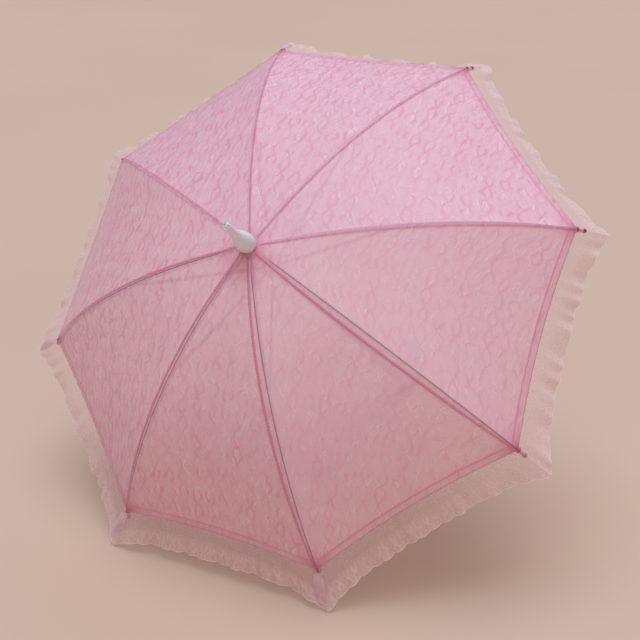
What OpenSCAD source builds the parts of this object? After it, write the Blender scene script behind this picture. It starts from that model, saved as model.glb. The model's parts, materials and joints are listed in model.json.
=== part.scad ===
// Lace parasol, open, lying on two corners of its frill and on its crook handle.
// Everything is drawn about the shaft: z runs up the shaft to the ferrule, z = 0 is the level of the
// rib hinges, and lay() then turns the whole parasol down onto the floor.

/* [Canopy] */
// From the shaft's axis to a corner of the lace cover
corner_radius = 330; // [300:1:350]
// Thickness of the lace
lace_t = 0.5; // [0.4:0.1:1]
// Gap between the back of a rib and the lace over it
lace_gap = 1.2; // [1:0.1:2.5]
// Radius of the hole in the middle of the cover
crown_hole_r = 6.5; // [6:0.1:9]
// How far the hem draws in midway between two ribs
hem_draw = 9; // [1:1:20]
// Width of the gathered frill
frill_w = 40; // [30:1:55]
// Extra width of the frill at the corners
frill_corner = 12; // [2:1:20]
// Height of the frill's folds
fold_h = 4.5; // [2:0.5:7]
// Folds of the frill from a rib to the middle of a panel
folds = 7; // [4:1:8]

/* [Ribs and stretchers] */
// Radius of the arc that the ribs are bent to
rib_bend = 463; // [440:1:520]
// Width of a rib across its channel
rib_w = 3.2; // [3:0.1:4]
// Height of a rib
rib_h = 3.2; // [3:0.1:4]
// Sheet thickness of the ribs and stretchers
rib_wall = 0.5; // [0.4:0.05:0.7]
// From the notch hinge to the rib joint, and the length of a stretcher
link_len = 155; // [140:1:170]
// Thickness of the flat eyes at the ends of ribs and stretchers
eye_t = 1.4; // [1.2:0.1:1.6]
// Radius of the flat eyes
eye_r = 2.1; // [1.9:0.1:2.4]
// Height of a stretcher
stretcher_h = 2.6; // [2.4:0.1:3]
// Diameter of a joint rivet
rivet_d = 1.4; // [1.2:0.1:1.6]
// Length of a rib tip inside the corner of the cover
tip_grip = 8; // [6:0.5:12]
// Length of a rib tip past the corner of the cover
tip_len = 12; // [8:1:18]
// Radius of the bead at the end of a rib tip
tip_bead_r = 2.6; // [2.4:0.1:3]

/* [Shaft] */
// Diameter of the shaft
shaft_d = 9; // [8.5:0.5:10]
// Wall of the shaft
shaft_wall = 0.6; // [0.5:0.1:0.9]
// From the rib hinges up to the shaft's top end
shaft_rise = 32; // [26:1:40]
// From the rib hinges down to the handle's rim
shaft_reach = 440; // [420:1:470]

/* [Notch and runner] */
// Radius of the circle that the hinge wires make
hinge_r = 10; // [9.8:0.1:11.5]
// Diameter of a hinge wire
wire_d = 1.2; // [1:0.1:1.4]
// Radius of the slotted heads
head_r = 13; // [12.9:0.1:15]
// Depth of a slotted head below its wire
head_drop = 6; // [5:0.5:8]
// Height of a slotted head above its wire
head_rise = 2.6; // [2.5:0.1:3.2]
// Length of the runner below its wire
runner_len = 48; // [44:1:56]
// Wall of the runner's sleeve
runner_wall = 2; // [1.6:0.1:2.4]
// Diameter of the pins in the shaft
pin_d = 1.2; // [1:0.1:1.4]

/* [Catches] */
// Length of a catch from its pin to its top
catch_len = 27; // [25:1:30]
// Height of a catch's nose
nose_h = 9; // [7:1:11]
// How far a catch's nose stands out of the shaft
nose_out = 2.2; // [1.8:0.1:2.6]

/* [Handle] */
// Radius of the handle's rod
grip_r = 9; // [8:0.5:10.5]
// Straight length of the handle
grip_len = 122; // [100:1:140]
// Radius of the crook's bend at the middle of the rod
crook_r = 28; // [25:1:34]
// Length of the crook's free leg
crook_leg = 24; // [12:1:40]
// Depth of the shaft's socket in the handle
socket_depth = 40; // [30:1:60]
// Length of the collar at the handle's rim
collar_len = 12; // [8:1:16]

/* [Ferrule cap] */
// Radius of the cap's bulge
cap_r = 11; // [10:0.5:12.5]
// Length of the cap
cap_len = 60; // [54:1:72]
// Radius of the cap's neck at its tip
cap_tip_r = 4.2; // [3.8:0.1:5]
// Straight length of the cap's neck
cap_neck = 18; // [16:1:20]
// Depth of the cross cut in the cap's tip
cap_cut = 4; // [3:0.5:5]

/* [Fits] */
// Gap of a part that slides or turns
run_gap = 0.25; // [0.2:0.05:0.3]
// Radial gap of a pin in its hole
pin_gap = 0.05; // [0.03:0.01:0.08]
// Gap between pieces of lace, and between lace and what carries it
lace_fit = 0.3; // [0.3:0.05:0.4]

/* [Hidden] */
$fn = 48;
rib_count = 8;
pitch = 360 / rib_count;
first_turn = -90 + pitch / 2;
panel_rows = 12;
panel_columns = 4;
fold_steps = 6;
slack = 1;

shaft_r = shaft_d / 2;
shaft_bore_r = shaft_r - shaft_wall;
wire_r = wire_d / 2;
rivet_r = rivet_d / 2;
pin_r = pin_d / 2;
slot_w = eye_t + 2 * run_gap;
hub_r = hinge_r - eye_r - run_gap;
hub_len = 8;
sleeve_bore_r = shaft_r + run_gap;
sleeve_r = sleeve_bore_r + runner_wall;

// Rib arc, whose centre is on the shaft's axis
bend_z = -sqrt(pow(rib_bend, 2) - pow(hinge_r, 2));
hinge_angle = asin(hinge_r / rib_bend);
corner_angle = asin(corner_radius / rib_bend);
crown_angle = asin(crown_hole_r / rib_bend);
cover_arc = rib_bend * (corner_angle - crown_angle) * PI / 180;
blade_clear = 1.5;
blade_len = head_drop + rib_h + blade_clear;
channel_start = asin((hinge_r + blade_len) / rib_bend);

// Rivet of the rib joint, just inside the rib's centre line, and the runner's level when open
rivet_in = 0.5;
joint_bend = rib_bend - rivet_in;
joint_angle = hinge_angle
    + acos((pow(joint_bend, 2) + pow(rib_bend, 2) - pow(link_len, 2)) / (2 * joint_bend * rib_bend));
joint_r = joint_bend * sin(joint_angle);
joint_z = bend_z + joint_bend * cos(joint_angle);
stretcher_rise = atan2(-joint_z, joint_r - hinge_r);
runner_z = 2 * joint_z;

// Closing turns each rib by this angle, which sets where the runner ends
fold_angle = 64;
runner_shut_z = -2 * link_len * sin(stretcher_rise + fold_angle);

notch_pin_z = -head_drop - hub_len / 2;

// Crown: washer on the notch, lace on the washer, cap on the lace
washer_t = 0.8;
washer_in = 1;
washer_gap = 0.2;
washer_r = head_r - washer_in;
washer_z = head_rise + washer_gap;
crown_z = washer_z + washer_t + 2 * lace_fit;
crown_rise = crown_z - rib_h / 2 - lace_gap + lace_fit;
crown_spread = 26;

// Rib tip: a sleeve on the rib's pin, with a bead at its end
tip_sleeve_r = rib_h / 2 + lace_gap - 2 * lace_fit;
tip_pin_r = 1.3;
bead_gap = 0.9;
tip_start = corner_angle - tip_grip / rib_bend * 180 / PI;
corner_lift = tip_bead_r + lace_fit - lace_gap - rib_h / 2 + bead_gap;
cap_z = cover_point(0, 0, lace_t)[2] + lace_fit;

// Crook and the floor: the floor touches the outside of the bend and two corners of the frill
handle_z = -shaft_reach;
crook_z = handle_z - grip_len;
foot = frill_edge(0);
foot_y = -foot[0] * cos(pitch / 2);
foot_z = foot[2];
floor_run = [crook_r - foot_y, foot_z - crook_z];
crook_out = crook_r + grip_r;
lean = atan2(floor_run[0], floor_run[1]) - asin(crook_out / norm(floor_run));
front_turn = cos(pitch / 2) * sin(lean);
front_y = -(rib_bend + rib_h / 2 + lace_gap) * norm([front_turn, cos(lean)]) - bend_z * cos(lean);
back_y = crook_r * sin(lean) - crook_z * cos(lean) + crook_out;
floor_shift = [0, -(front_y + back_y) / 2, -foot_y * cos(lean) - foot_z * sin(lean)];

// Catches: the top one stands under the open runner, the bottom one stands in the shut runner's window
catch_inset = 1.7;
catch_pin_y = shaft_bore_r - catch_inset;
leaf_t = 1.4;
leaf_w = 2;
catch_slot_w = leaf_w + 2 * run_gap;
catch_play = 0.5;
top_catch_z = runner_z - runner_len - catch_play;
window_room = 3;
window_foot = 4;
window_h = nose_h + window_room;
window_z = window_foot - runner_len;
bottom_catch_z = runner_shut_z + window_z + catch_play;

lace_pink = [0.93, 0.66, 0.80];
tip_pink = [0.86, 0.40, 0.58];
steel = [0.72, 0.72, 0.76];
white = [0.95, 0.95, 0.94];

SIDES = ["left", "right"];

// Point of the rib's arc in the rib's own plane, moved outwards from its centre line
function arc_point(angle, out) =
    [(rib_bend + out) * sin(angle), 0, bend_z + (rib_bend + out) * cos(angle)];

function arc_direction(angle) = [cos(angle), 0, -sin(angle)];

function turned(p, turn) =
    [p[0] * cos(turn) - p[1] * sin(turn), p[0] * sin(turn) + p[1] * cos(turn), p[2]];

// Lace over a rib, at a share of the way from the crown to the corner
function cover_out(share) =
    let (angle = crown_angle + (corner_angle - crown_angle) * share)
    let (r = rib_bend * sin(angle))
    rib_h / 2 + lace_gap + crown_rise / (1 + pow(r / crown_spread, 4)) + corner_lift * pow(share, 8);

function over_rib(share, out) =
    arc_point(crown_angle + (corner_angle - crown_angle) * share, cover_out(share) + out);

// Lace between a rib and the middle of the panel beside it, drawn straight across from rib to rib
function cover_point(share, across, out) =
    let (here = over_rib(share, out))
    let (beyond = turned(here, pitch))
    here + (beyond - here) * across / 2;

function hem_share(across) = 1 - hem_draw / cover_arc * (1 - pow(1 - across, 2));

// Share across a half panel, which leaves half of the lace gap free at both edges
function inset(share, across) =
    let (half_chord = over_rib(share, 0)[0] * sin(pitch / 2))
    let (edge = lace_fit / 2 / half_chord)
    edge + (1 - 2 * edge) * across;

function unit(v) = v / norm(v);

// Frill, which goes on from the hem along the slope of the cover
function hem_point(across) = cover_point(hem_share(across), across, 0);

function hem_slope(across) = unit(hem_point(across) - cover_point(hem_share(across) - 0.03, across, 0));

function hem_normal(across) = unit(cover_point(hem_share(across), across, 1) - hem_point(across));

function frill_width(across) = frill_w + frill_corner * pow(1 - across, 6);

function frill_edge(across) =
    hem_point(across)
    + hem_slope(across) * frill_width(across)
    + hem_normal(across) * fold_h * sin(360 * folds * across);

function frill_start(across) = hem_point(across) + hem_slope(across) * lace_fit;

// Thin closed sheet between two grids of points, given column by column
module sheet(inner, outer, columns, rows) {
    count = (columns + 1) * (rows + 1);
    function at(column, row) = column * (rows + 1) + row;
    cells = [
        for (c = [0:columns - 1], r = [0:rows - 1])
            [at(c, r), at(c + 1, r), at(c + 1, r + 1), at(c, r + 1)]
    ];
    rim = concat(
        [for (r = [0:rows - 1]) at(0, r)],
        [for (c = [0:columns - 1]) at(c, rows)],
        [for (r = [rows:-1:1]) at(columns, r)],
        [for (c = [columns:-1:1]) at(c, 0)]
    );
    last = len(rim) - 1;
    edges = [for (k = [0:last]) [rim[k], rim[k == last ? 0 : k + 1]]];
    polyhedron(
        points = concat(inner, outer),
        faces = concat(
            [for (q = cells) [q[0], q[1], q[2]]],
            [for (q = cells) [q[0], q[2], q[3]]],
            [for (q = cells) [q[2], q[1], q[0]] + [count, count, count]],
            [for (q = cells) [q[3], q[2], q[0]] + [count, count, count]],
            [for (e = edges) [e[0], e[1], e[1] + count]],
            [for (e = edges) [e[0], e[1] + count, e[0] + count]]
        )
    );
}

// Turns the parasol from its own axis down onto the floor
module lay() {
    translate(floor_shift) rotate([90 - lean, 0, 0]) children();
}

module at_rib(i) {
    rotate([0, 0, first_turn + pitch * (i - 1)]) children();
}

// Sweeps a section along the rib's arc; the section's x points out of the dome, its y along the hinge
module along_rib(from_angle, to_angle) {
    translate([0, 0, bend_z])
        rotate([90, 0, 0])
            rotate([0, 0, 90 - to_angle])
                rotate_extrude(angle = to_angle - from_angle, $fn = 96)
                    translate([rib_bend, 0])
                        children();
}

// Cylinder across the rib's plane, centred on a point
module cross_rod(p, r, length) {
    translate(p) rotate([90, 0, 0]) cylinder(r = r, h = length, center = true);
}

module channel_section(width, height) {
    difference() {
        square([height, width], center = true);
        translate([-height / 2 - slack, rib_wall - width / 2])
            square([height - rib_wall + slack, width - 2 * rib_wall]);
    }
}

module rib(i) {
    hinge = [hinge_r, 0, 0];
    joint = [joint_r, 0, joint_z];
    color(steel) lay() at_rib(i) {
        difference() {
            union() {
                along_rib(channel_start, tip_start) channel_section(rib_w, rib_h);
                along_rib(hinge_angle, channel_start + 1) square([rib_h - rib_wall, eye_t], center = true);
                cross_rod(hinge, eye_r, eye_t);
                rib_pin();
            }
            cross_rod(hinge, wire_r + run_gap, rib_w);
            cross_rod(joint, rivet_r + pin_gap, 2 * rib_w);
        }
    }
}

// From the end of the rib's channel, with z along the rib
module at_rib_end() {
    translate(arc_point(tip_start, 0)) rotate([0, 90 + tip_start, 0]) children();
}

// Round pin at the rib's end, which holds the rib tip
module rib_pin() {
    root = 3;
    plug = [rib_h - rib_wall, rib_w - rib_wall];
    at_rib_end() {
        translate([0, 0, -root]) cylinder(r = tip_pin_r, h = root + tip_grip);
        translate([-plug[0] / 2, -plug[1] / 2, -root]) cube([plug[0], plug[1], root - lace_fit]);
    }
}

module rib_tip(i) {
    color(tip_pink) lay() at_rib(i) at_rib_end() difference() {
        union() {
            translate([0, 0, lace_fit]) cylinder(r = tip_sleeve_r, h = tip_grip + tip_len - lace_fit);
            translate([0, 0, tip_grip + tip_len]) sphere(r = tip_bead_r);
        }
        translate([0, 0, lace_fit - slack])
            cylinder(r = tip_pin_r + pin_gap, h = tip_grip - lace_fit + slack + pin_gap);
    }
}

module joint_rivet(i) {
    head_t = 0.5;
    head_gap = 0.1;
    color(steel) lay() at_rib(i) translate([joint_r, 0, joint_z]) rotate([90, 0, 0]) {
        cylinder(r = rivet_r, h = rib_w + 2 * head_gap, center = true);
        for (end = [0, 1])
            mirror([0, 0, end])
                translate([0, 0, rib_w / 2 + head_gap])
                    cylinder(r = 2 * rivet_r, h = head_t);
    }
}

// From the runner's wire, with x along the stretcher up to the rib joint
module at_stretcher(i) {
    at_rib(i) translate([hinge_r, 0, runner_z]) rotate([0, -stretcher_rise, 0]) children();
}

// Straight channel with a flat eye at each end
module stretcher(i) {
    tongue = 9;
    plug = 3;
    plug_x = link_len - tongue - plug;
    inner_h = stretcher_h - rib_wall;
    plug_w = rib_w - rib_wall;
    floor_z = rib_wall - stretcher_h / 2;
    color(steel) lay() at_stretcher(i) difference() {
        union() {
            translate([head_r, 0, 0])
                rotate([0, 90, 0])
                    linear_extrude(link_len - head_r - tongue)
                        rotate([0, 0, 180]) channel_section(rib_w, stretcher_h);
            translate([0, -eye_t / 2, floor_z]) cube([head_r + slack, eye_t, inner_h]);
            translate([plug_x, -eye_t / 2, floor_z]) cube([tongue + plug, eye_t, inner_h - rib_wall]);
            translate([plug_x, -plug_w / 2, floor_z]) cube([plug, plug_w, inner_h - rib_wall / 2]);
            cross_rod([0, 0, 0], eye_r, eye_t);
            cross_rod([link_len, 0, 0], stretcher_h / 2, eye_t);
        }
        cross_rod([0, 0, 0], wire_r + run_gap, rib_w);
        cross_rod([link_len, 0, 0], rivet_r + 2 * pin_gap, rib_w);
    }
}

// Slots for the eyes, and the groove that the wire lies in
module head_cuts() {
    groove_h = wire_d + 2 * pin_gap;
    for (i = [1:rib_count])
        at_rib(i)
            translate([hub_r, -slot_w / 2, -head_drop - slack])
                cube([head_r, slot_w, head_drop + head_rise + 2 * slack]);
    translate([0, 0, -groove_h / 2])
        difference() {
            cylinder(r = head_r + slack, h = groove_h);
            translate([0, 0, -slack]) cylinder(r = hinge_r - wire_r - pin_gap, h = groove_h + 2 * slack);
        }
}

module wire_ring() {
    rotate_extrude() translate([hinge_r, 0]) circle(r = wire_r);
}

module top_notch() {
    hub_drop = head_drop + hub_len;
    color(white) lay() difference() {
        union() {
            translate([0, 0, -head_drop]) cylinder(r = head_r, h = head_drop + head_rise);
            translate([0, 0, -hub_drop]) cylinder(r = hub_r, h = hub_drop);
        }
        translate([0, 0, -hub_drop - slack])
            cylinder(r = shaft_r + pin_gap, h = hub_drop + head_rise + 2 * slack);
        head_cuts();
        translate([0, 0, notch_pin_z])
            rotate([0, 90, 0]) cylinder(r = pin_r + pin_gap, h = 4 * head_r, center = true);
    }
}

module notch_wire() {
    color(steel) lay() wire_ring();
}

module crown_washer() {
    color(lace_pink) lay() translate([0, 0, washer_z]) difference() {
        cylinder(r = washer_r, h = washer_t);
        translate([0, 0, -slack]) cylinder(r = shaft_r + run_gap, h = washer_t + 2 * slack);
    }
}

// Pear-shaped cap: a rounded foot, a long taper and a straight neck with a crossed tip
module ferrule_cap() {
    foot_in = 2.5;
    bulge_z = 9;
    foot_steps = 4;
    taper_steps = 8;
    taper_z = cap_len - cap_neck;
    round_tip = 1;
    cut_w = 2.4;
    round_foot = [for (k = [0:foot_steps - 1]) [
        cap_r - foot_in + foot_in * sin(90 * k / foot_steps),
        bulge_z * (1 - cos(90 * k / foot_steps))
    ]];
    taper = [for (k = [0:taper_steps]) [
        cap_tip_r + (cap_r - cap_tip_r) * (1 + cos(180 * k / taper_steps)) / 2,
        bulge_z + (taper_z - bulge_z) * k / taper_steps
    ]];
    tip = [[cap_tip_r, cap_len - cap_cut], [cap_tip_r - round_tip, cap_len], [0, cap_len]];
    color(white) lay() translate([0, 0, cap_z]) difference() {
        rotate_extrude() polygon(concat([[0, 0]], round_foot, taper, tip));
        translate([0, 0, -slack])
            cylinder(r = shaft_r + pin_gap, h = shaft_rise - cap_z + pin_gap + slack);
        for (turn = [0, 90])
            rotate([0, 0, turn])
                translate([-cap_r, -cut_w / 2, cap_len - cap_cut])
                    cube([2 * cap_r, cut_w, cap_cut + slack]);
    }
}

// Pin holes and catch slots are cut in a plain tube
module shaft() {
    length = shaft_rise + shaft_reach + socket_depth;
    color(steel) lay() difference() {
        translate([0, 0, shaft_rise - length]) cylinder(r = shaft_r, h = length);
        translate([0, 0, shaft_rise - length - slack]) cylinder(r = shaft_bore_r, h = length + 2 * slack);
        translate([0, 0, notch_pin_z]) pin_hole(0);
        for (flip = [0, 1])
            at_catch(flip) {
                pin_hole(catch_pin_y);
                translate([-catch_slot_w / 2, 0, catch_len - nose_h - catch_play])
                    cube([catch_slot_w, shaft_d, nose_h + 2 * catch_play]);
            }
    }
}

module pin_hole(y) {
    translate([0, y, 0]) rotate([0, 90, 0]) cylinder(r = pin_r + pin_gap, h = 2 * shaft_d, center = true);
}

module pin_across(y, length) {
    translate([0, y, 0]) rotate([0, 90, 0]) cylinder(r = pin_r, h = length, center = true);
}

module shaft_pins() {
    catch_pin_len = 2 * sqrt(pow(shaft_r, 2) - pow(catch_pin_y + pin_r, 2));
    color(steel) lay() {
        translate([0, 0, notch_pin_z]) pin_across(0, 2 * hub_r);
        for (flip = [0, 1])
            at_catch(flip) pin_across(catch_pin_y, catch_pin_len);
    }
}

// From a catch's pin: the top catch stands up from its pin, the bottom one hangs from it
module at_catch(flip) {
    level = flip == 0 ? top_catch_z - catch_len : bottom_catch_z + catch_len;
    translate([0, 0, level]) mirror([0, 0, flip]) children();
}

// Leaf on a pin inside the shaft, with a nose that stands out through the slot
module catch(flip) {
    hub_wall = 0.7;
    nose_reach = shaft_r + nose_out;
    nose = [
        [catch_pin_y, 0],
        [nose_reach, 0],
        [nose_reach, -nose_h / 3],
        [catch_pin_y, -nose_h]
    ];
    color(steel) lay() at_catch(flip) difference() {
        union() {
            translate([0, catch_pin_y, 0])
                rotate([0, 90, 0]) cylinder(r = pin_r + hub_wall, h = leaf_w, center = true);
            translate([-leaf_w / 2, catch_pin_y - leaf_t / 2, 0]) cube([leaf_w, leaf_t, catch_len]);
            translate([-leaf_w / 2, 0, catch_len])
                rotate([90, 0, 90]) linear_extrude(leaf_w) polygon(nose);
        }
        pin_hole(catch_pin_y);
    }
}

module runner() {
    flange_out = 1.6;
    flange_t = 3;
    color(white) lay() translate([0, 0, runner_z]) difference() {
        union() {
            translate([0, 0, -head_drop]) cylinder(r = head_r, h = head_drop + head_rise);
            translate([0, 0, -runner_len]) cylinder(r = sleeve_r, h = runner_len);
            translate([0, 0, -runner_len]) cylinder(r = sleeve_r + flange_out, h = flange_t);
        }
        translate([0, 0, -runner_len - slack])
            cylinder(r = sleeve_bore_r, h = runner_len + head_rise + 2 * slack);
        head_cuts();
        translate([-catch_slot_w / 2, 0, window_z]) cube([catch_slot_w, 2 * sleeve_r, window_h]);
    }
}

module runner_wire() {
    color(steel) lay() translate([0, 0, runner_z]) wire_ring();
}

module handle_collar() {
    lip_out = 1.5;
    sleeve_in = 1;
    color(white) lay() translate([0, 0, handle_z + run_gap]) difference() {
        union() {
            cylinder(r = grip_r + lip_out, h = collar_len / 3);
            cylinder(r = grip_r - sleeve_in, h = collar_len);
        }
        translate([0, 0, -slack]) cylinder(r = shaft_r + pin_gap, h = collar_len + 2 * slack);
    }
}

// Crook: straight rod, half-round bend and a short leg with a round end
module handle() {
    color(white) lay() difference() {
        union() {
            translate([0, 0, crook_z]) cylinder(r = grip_r, h = grip_len);
            translate([0, crook_r, crook_z])
                rotate([0, 90, 0])
                    rotate([0, 0, -90])
                        rotate_extrude(angle = 180) translate([crook_r, 0]) circle(r = grip_r);
            translate([0, 2 * crook_r, crook_z]) cylinder(r = grip_r, h = crook_leg);
            translate([0, 2 * crook_r, crook_z + crook_leg]) sphere(r = grip_r);
        }
        translate([0, 0, handle_z - socket_depth - pin_gap])
            cylinder(r = shaft_r + pin_gap, h = socket_depth + slack);
    }
}

// Half of a lace panel and its stretch of frill, from the rib to the middle of the panel
module half_panel(i, side) {
    color(lace_pink) lay() at_rib(i) mirror([0, side == "right" ? 0 : 1, 0]) {
        sheet(panel_points(0), panel_points(lace_t), panel_columns, panel_rows);
        sheet(frill_points(0), frill_points(lace_t), folds * fold_steps, 1);
    }
}

function panel_points(out) = [
    for (c = [0:panel_columns], r = [0:panel_rows])
        let (share = hem_share(c / panel_columns) * r / panel_rows)
        cover_point(share, inset(share, c / panel_columns), out)
];

function frill_points(out) = [
    for (c = [0:folds * fold_steps], r = [0:1])
        let (across = inset(1, c / folds / fold_steps))
        (r == 0 ? frill_start(across) : frill_edge(across)) + hem_normal(across) * out
];

shaft();
shaft_pins();
top_notch();
notch_wire();
crown_washer();
ferrule_cap();
handle();
handle_collar();
runner();
runner_wire();
catch(0);  // top_catch
catch(1);  // bottom_catch
for (i = [1:rib_count]) {
    rib(i);
    rib_tip(i);
    joint_rivet(i);
    stretcher(i);
    for (side = SIDES)
        half_panel(i, side);
}
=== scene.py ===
"""Lace parasol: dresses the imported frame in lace, frill, seams and finishes, and sets its stage."""

import json
from math import asin, cos, pi, radians, sin, sqrt

import bpy
import numpy as np
from bpy.props import FloatProperty, FloatVectorProperty, IntProperty, PointerProperty
from bpy.types import Operator, Panel, PropertyGroup
from mathutils import Matrix, Vector

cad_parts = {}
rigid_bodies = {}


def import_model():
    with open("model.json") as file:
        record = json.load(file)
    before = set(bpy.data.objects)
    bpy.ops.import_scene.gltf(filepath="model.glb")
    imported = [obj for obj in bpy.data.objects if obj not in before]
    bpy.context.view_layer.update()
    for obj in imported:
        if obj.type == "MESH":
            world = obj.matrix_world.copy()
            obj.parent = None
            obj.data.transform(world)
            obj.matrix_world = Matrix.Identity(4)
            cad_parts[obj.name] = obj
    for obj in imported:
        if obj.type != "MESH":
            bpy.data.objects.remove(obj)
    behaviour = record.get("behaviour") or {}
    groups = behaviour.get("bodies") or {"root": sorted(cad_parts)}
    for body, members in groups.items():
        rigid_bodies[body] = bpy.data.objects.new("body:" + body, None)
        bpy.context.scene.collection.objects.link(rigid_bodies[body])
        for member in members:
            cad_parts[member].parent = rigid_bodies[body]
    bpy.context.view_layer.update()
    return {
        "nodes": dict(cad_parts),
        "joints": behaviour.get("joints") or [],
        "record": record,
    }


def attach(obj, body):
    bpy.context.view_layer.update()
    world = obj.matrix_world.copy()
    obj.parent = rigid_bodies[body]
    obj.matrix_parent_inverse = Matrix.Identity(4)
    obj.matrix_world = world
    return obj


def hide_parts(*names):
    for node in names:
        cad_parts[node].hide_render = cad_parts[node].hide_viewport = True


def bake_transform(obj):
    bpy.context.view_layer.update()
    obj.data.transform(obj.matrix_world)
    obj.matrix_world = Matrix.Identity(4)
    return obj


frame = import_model()

bl_info = {
    "name": "Lace parasol",
    "version": (1, 0, 0),
    "blender": (4, 5, 0),
    "location": "View3D > Sidebar > Parasol",
    "description": "Lace cover, frill, seams, cap and finishes of a small open parasol",
    "category": "Add Mesh",
}

RIBS = range(1, 9)
SIDES = ("left", "right")
PITCH = radians(45)
FIRST_TURN = radians(-67.5)
# Ribs with a flap of frill at their corner
FLAPS = (1, 5, 7, 8)
# The frill hangs in most at this turn round the shaft, and stands out most across from it
FLARE_TURN = radians(50)
# Share of its flare that the frill has on average
FLARE_MEAN = 0.27
# The lace stays this far above the floor
ON_FLOOR = 0.0004
# Short steps down the cover and out of it, which give its slope and its normal
SLOPE_STEP = 0.03
NORMAL_STEP = 0.001
# Small puckers that the hem's stitching makes across a half panel
PUCKERS = 14
PUCKER_HEIGHT = 0.00045
PUCKER_REACH = 0.012
# A seam's start and span as shares of the cover, how far it stands clear of the rib and the lace, how much
# fainter it is painted on the upper, lit side as if the light washed it out, and the turn of the side where
# it bows most
SEAM_START = 0.02
SEAM_SPAN = 0.972
SEAM_CLEAR = 0.0006
SEAM_LIT_FADE = 0.55
SEAM_TURN = radians(-45)
# Width of the lace's veil over the ribs on the upper side, painted light that hides the ribs where the light
# falls
RIB_VEIL = 0.0010
# Length of a rib tip inside the corner, and the place of its knot along it
TIP_GRIP = 0.008
KNOT_PLACE = 0.0086
# How far the frill droops at its edge, and how far under the hem it is sewn
FRILL_DROOP = 0.004
FRILL_UNDER = 0.0004
# Sizes of the net, the motifs, the gathers and the stitches
COVER_MESH = 0.0027
FRILL_MESH = 0.0021
FRILL_MOTIF = 0.017
FRILL_GATHER = 0.006
FRILL_ROW = 0.0042
PLEAT_MOTIF = 0.013
STITCH_WIDTH = 0.0008
HEM_STITCH = 0.0034
SEAM_STITCH = 0.0036
# How far the net's threads lean aside for each length along them
NET_LEAN = 0.577
# Shifts of the lace's pattern from one panel to the next
COVER_SHIFT = (0.917, 0.743)
FRILL_SHIFT = 0.41
PLEAT_SHIFT = 0.3
# The camera fitted to the photograph: place in metres, turn in degrees, focal length in pixels
CAMERA_PLACE = (0.612, -1.2031, 0.8063)
CAMERA_TURN = (66.119, 0.28, 27.537)
FOCAL_PX = 1150
IMAGE_PX = 640
SENSOR_MM = 36

# The shaft's own axes in the shared frame: the ribs hinge round it, and the ferrule points up it
hinges = [j for j in frame["joints"] if j["parent"] == "stick" and j["child"].startswith("rib_")]
centre = sum((Vector(j["pos_m"]) for j in hinges), Vector()) / len(hinges)
up = Vector(frame["record"]["mounts"][0]["axis"]).normalized()
aside = Vector((1, 0, 0))
SHAFT = Matrix.Translation(centre) @ Matrix((aside, up.cross(aside), up)).transposed().to_4x4()


class ParasolSizes(PropertyGroup):
    corner_radius: FloatProperty(
        name="Corner radius", description="From the shaft's axis to a corner of the cover",
        default=0.330, unit="LENGTH")
    rib_bend: FloatProperty(
        name="Rib bend", description="Radius of the arc that the ribs are bent to",
        default=0.463, unit="LENGTH")
    hinge_radius: FloatProperty(
        name="Hinge radius", description="Radius of the circle of rib hinges",
        default=0.010, unit="LENGTH")
    rib_height: FloatProperty(
        name="Rib height", description="Height of a rib's channel", default=0.0032, unit="LENGTH")
    lace_gap: FloatProperty(
        name="Lace gap", description="Gap between a rib's back and the lace",
        default=0.00145, unit="LENGTH")
    crown_hole: FloatProperty(
        name="Crown hole", description="Radius of the hole in the middle of the cover",
        default=0.0065, unit="LENGTH")
    crown_rise: FloatProperty(
        name="Crown rise", description="How far the washer lifts the lace at the crown",
        default=0.0017, unit="LENGTH")
    crown_spread: FloatProperty(
        name="Crown spread", description="Radius over which the crown's rise fades",
        default=0.026, unit="LENGTH")
    corner_lift: FloatProperty(
        name="Corner lift", description="How far the rib tips lift the lace at the corners",
        default=0.001, unit="LENGTH")
    hem_draw: FloatProperty(
        name="Hem draw", description="How far the hem draws in midway between two ribs",
        default=0.009, unit="LENGTH")
    hem_width: FloatProperty(
        name="Hem width", description="Width of the folded hem", default=0.0095, unit="LENGTH")
    frill_width: FloatProperty(
        name="Frill width", description="Width of the gathered frill", default=0.040, unit="LENGTH")
    frill_corner: FloatProperty(
        name="Frill corner", description="Extra width of the frill at the corners",
        default=0.012, unit="LENGTH")
    fold_height: FloatProperty(
        name="Fold height", description="Height of the frill's folds", default=0.0028, unit="LENGTH")
    frill_flare: FloatProperty(
        name="Frill flare", description="How far the frill stands out, on the side where it does most",
        default=radians(15), subtype="ANGLE")
    folds: IntProperty(
        name="Folds", description="Folds of the frill from a rib to the middle of a panel", default=7)
    scallops: IntProperty(
        name="Scallops", description="Scallops of the frill from a rib to the middle of a panel",
        default=9)
    scallop_depth: FloatProperty(
        name="Scallop depth", description="Depth of the frill's scallops", default=0.0024, unit="LENGTH")
    seam_width: FloatProperty(
        name="Seam width", description="Width of the felled seam beside a rib",
        default=0.0052, unit="LENGTH")
    seam_bow: FloatProperty(
        name="Seam bow", description="How far a seam bows away from its rib",
        default=0.0075, unit="LENGTH")
    motif: FloatProperty(
        name="Motif size", description="Spacing of the flowers in the lace",
        default=0.027, unit="LENGTH")
    fold_start: FloatVectorProperty(
        name="Fold start", description="Level where the cover starts to fold, in a rib's own axes",
        default=(0.0155, -0.0348, 0.0433), size=3, unit="LENGTH")
    fold_end: FloatVectorProperty(
        name="Fold end", description="Level where the cover is fully folded, in a rib's own axes",
        default=(-0.0266, 0.0598, -0.0744), size=3, unit="LENGTH")


def colour(name, words, default):
    return FloatVectorProperty(
        name=name, description=words, default=default, size=3, min=0, max=1, subtype="COLOR")


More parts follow.
